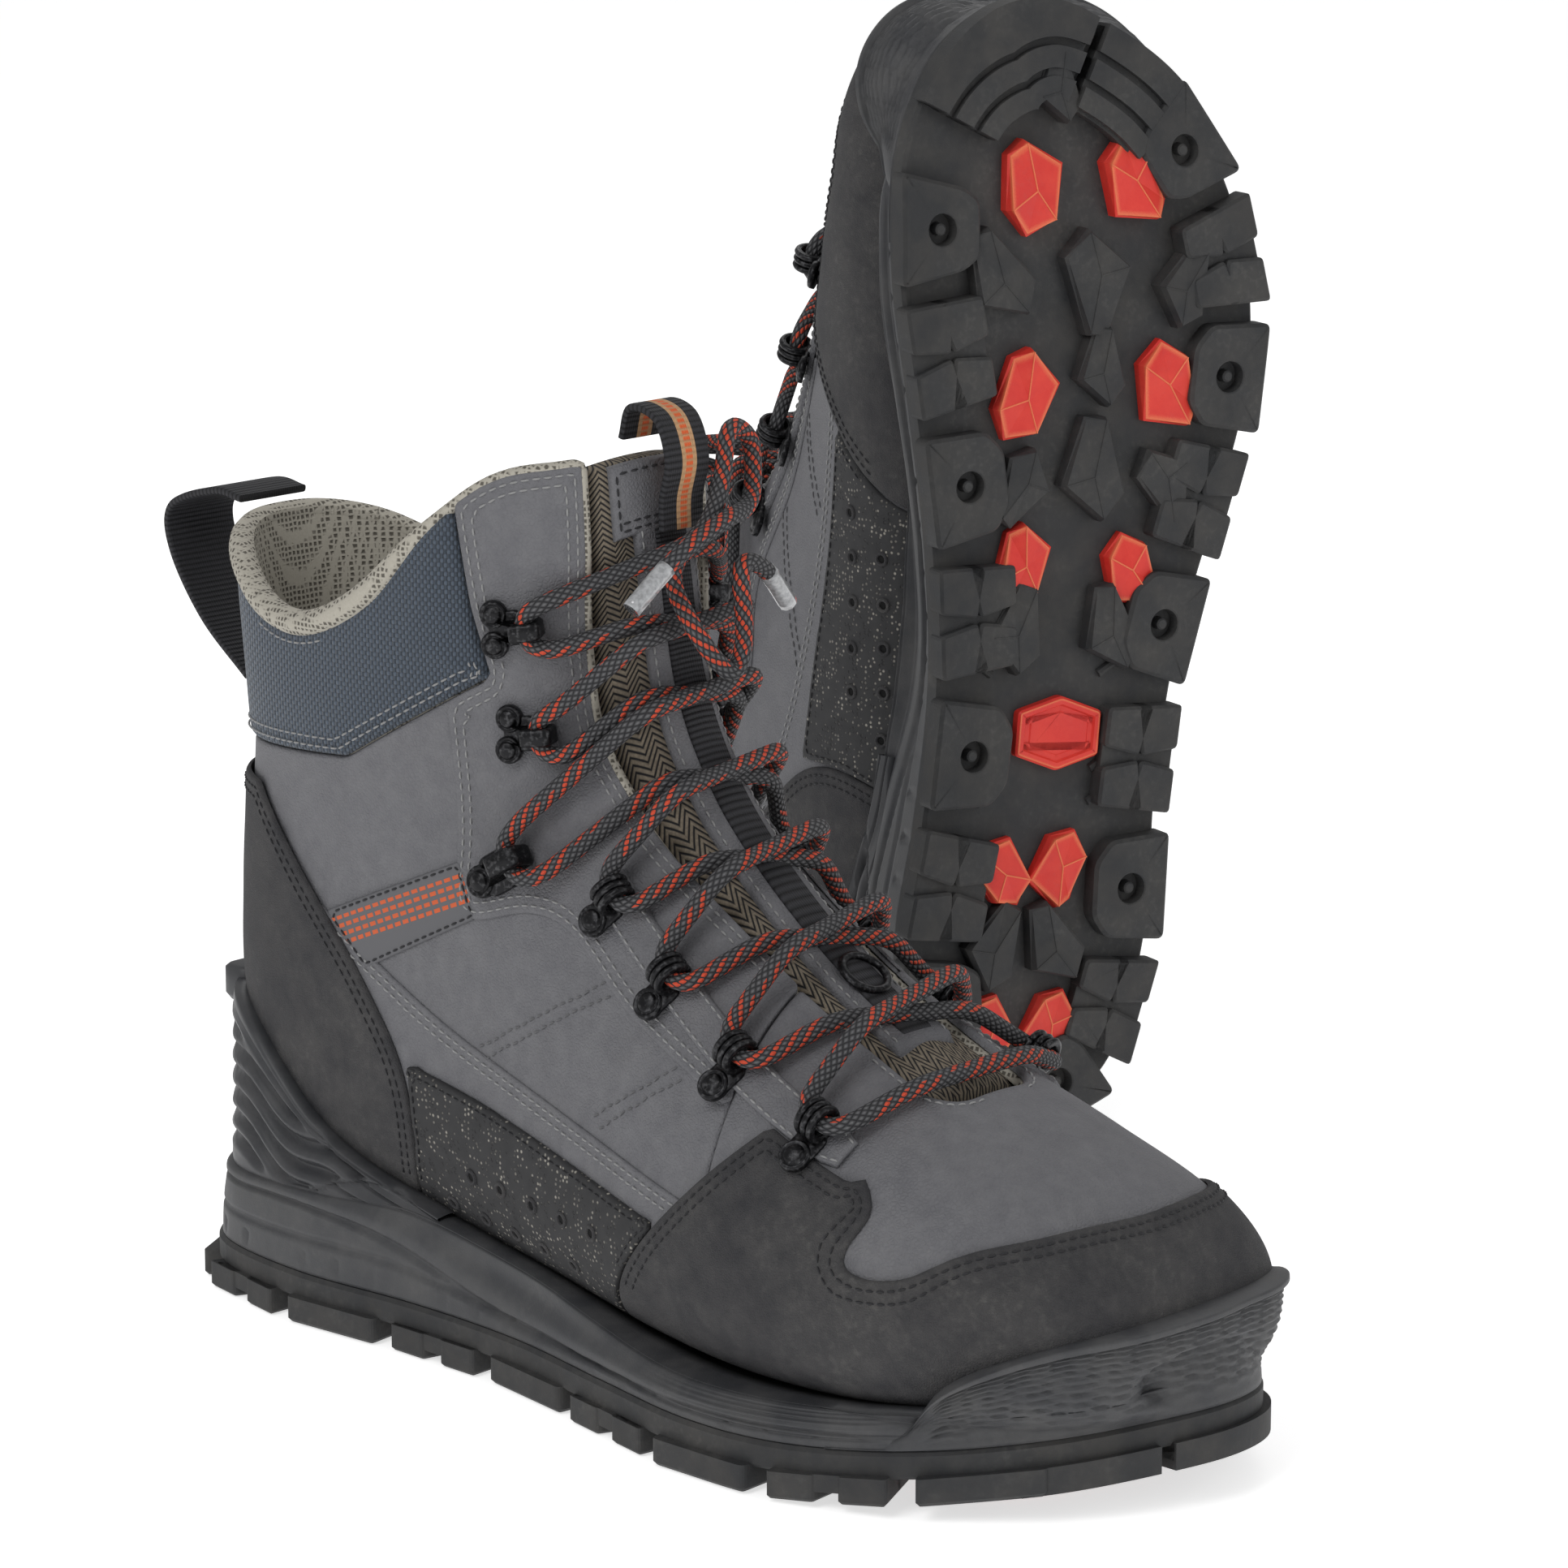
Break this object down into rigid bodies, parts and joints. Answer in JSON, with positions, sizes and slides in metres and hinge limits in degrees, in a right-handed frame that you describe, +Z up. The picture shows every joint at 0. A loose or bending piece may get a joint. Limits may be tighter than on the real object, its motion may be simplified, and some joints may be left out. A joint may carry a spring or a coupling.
{
  "type": "wading boots",
  "caption": "Pair of high lace-up wading boots: one stands on its sole, the other lies on its back showing a lugged sole with red inserts.",
  "frame": {"origin": "on the ground, under the middle of the pair's bounding box, laces left out", "axes": "+Z up; the right boot's toe points towards -Y and +X, 42.5 degrees clockwise of +X seen from above; the left boot lies on its back with its toe up, its sole facing -Y and a little +X"},
  "size_m": [0.3082, 0.5614, 0.3337],
  "materials": {
    "black_rubber": "matte moulded sole rubber",
    "red_rubber": "satin red soft rubber",
    "black_tpu": "satin moulded polyurethane",
    "shank_plastic": "matte nylon",
    "board": "matte fibreboard",
    "footbed_foam": "matte fabric-faced foam",
    "lining_mesh": "open beige and grey mesh",
    "grey_leather": "matte grey synthetic leather with a fine grain",
    "black_leather": "matte black nubuck and perforated panels",
    "collar_textile": "blue-grey woven nylon",
    "webbing": "black ribbed webbing",
    "black_metal": "satin black coated metal",
    "lacing": "round braid, dark grey with orange-red flecks"
  },
  "bodies": {
    "right_boot": {"right_outsole": "black_rubber", "right_lug_inserts": "red_rubber", "right_midsole": "black_rubber", "right_toe_bumper": "black_rubber", "right_heel_clip": "black_tpu", "right_shank": "shank_plastic", "right_insole_board": "board", "right_footbed": "footbed_foam", "right_lining": "lining_mesh", "right_vamp": "grey_leather", "right_quarter_lateral": "grey_leather", "right_quarter_medial": "grey_leather", "right_collar_fabric": "collar_textile", "right_toe_overlay": "black_leather", "right_heel_overlay": "black_leather", "right_side_panel_lateral": "black_leather", "right_side_panel_medial": "black_leather", "right_tongue": "grey_leather", "right_heel_pull_loop": "webbing", "right_lace_loops_lateral": "black_metal", "right_lace_loops_medial": "black_metal", "right_lock_hook_lateral": "black_metal", "right_lock_hook_medial": "black_metal", "right_hook_lower_lateral": "black_metal", "right_hook_lower_medial": "black_metal", "right_hook_upper_lateral": "black_metal", "right_hook_upper_medial": "black_metal", "right_lace": "lacing"},
    "right_ring": {"right_gaiter_ring": "black_metal"},
    "right_tongue_loop": {"right_tongue_pull_loop": "webbing"},
    "left_boot": {"left_outsole": "black_rubber", "left_lug_inserts": "red_rubber", "left_midsole": "black_rubber", "left_toe_bumper": "black_rubber", "left_heel_clip": "black_tpu", "left_shank": "shank_plastic", "left_insole_board": "board", "left_footbed": "footbed_foam", "left_lining": "lining_mesh", "left_vamp": "grey_leather", "left_quarter_lateral": "grey_leather", "left_quarter_medial": "grey_leather", "left_collar_fabric": "collar_textile", "left_toe_overlay": "black_leather", "left_heel_overlay": "black_leather", "left_side_panel_lateral": "black_leather", "left_side_panel_medial": "black_leather", "left_tongue": "grey_leather", "left_heel_pull_loop": "webbing", "left_lace_loops_lateral": "black_metal", "left_lace_loops_medial": "black_metal", "left_lock_hook_lateral": "black_metal", "left_lock_hook_medial": "black_metal", "left_hook_lower_lateral": "black_metal", "left_hook_lower_medial": "black_metal", "left_hook_upper_lateral": "black_metal", "left_hook_upper_medial": "black_metal", "left_lace": "lacing"},
    "left_ring": {"left_gaiter_ring": "black_metal"},
    "left_tongue_loop": {"left_tongue_pull_loop": "webbing"}
  },
  "joints": [
    {"name": "left_boot_lift", "type": "slide", "parent": "right_boot", "child": "left_boot", "axis": [0, 0, 1], "range_m": [0, 0.3]},
    {"name": "right_ring_swing", "type": "hinge", "parent": "right_boot", "child": "right_ring", "pos_m": [0.02936, -0.18905, 0.11864], "axis": [-0.6756, -0.7373, 0], "range_deg": [0, 90]},
    {"name": "right_tongue_loop_flex", "type": "hinge", "parent": "right_boot", "child": "right_tongue_loop", "pos_m": [-0.01269, -0.15052, 0.22], "axis": [0.6756, 0.7373, 0], "range_deg": [-20, 10], "stiffness_Nm_per_rad": 0.02},
    {"name": "left_ring_swing", "type": "hinge", "parent": "left_boot", "child": "left_ring", "pos_m": [0.04031, 0.16407, 0.21815], "axis": [-0.8755, -0.4753, 0.0872], "range_deg": [0, 90]},
    {"name": "left_tongue_loop_flex", "type": "hinge", "parent": "left_boot", "child": "left_tongue_loop", "pos_m": [-0.01242, 0.25077, 0.16134], "axis": [0.8755, 0.4753, -0.0872], "range_deg": [-20, 10], "stiffness_Nm_per_rad": 0.02}
  ]
}
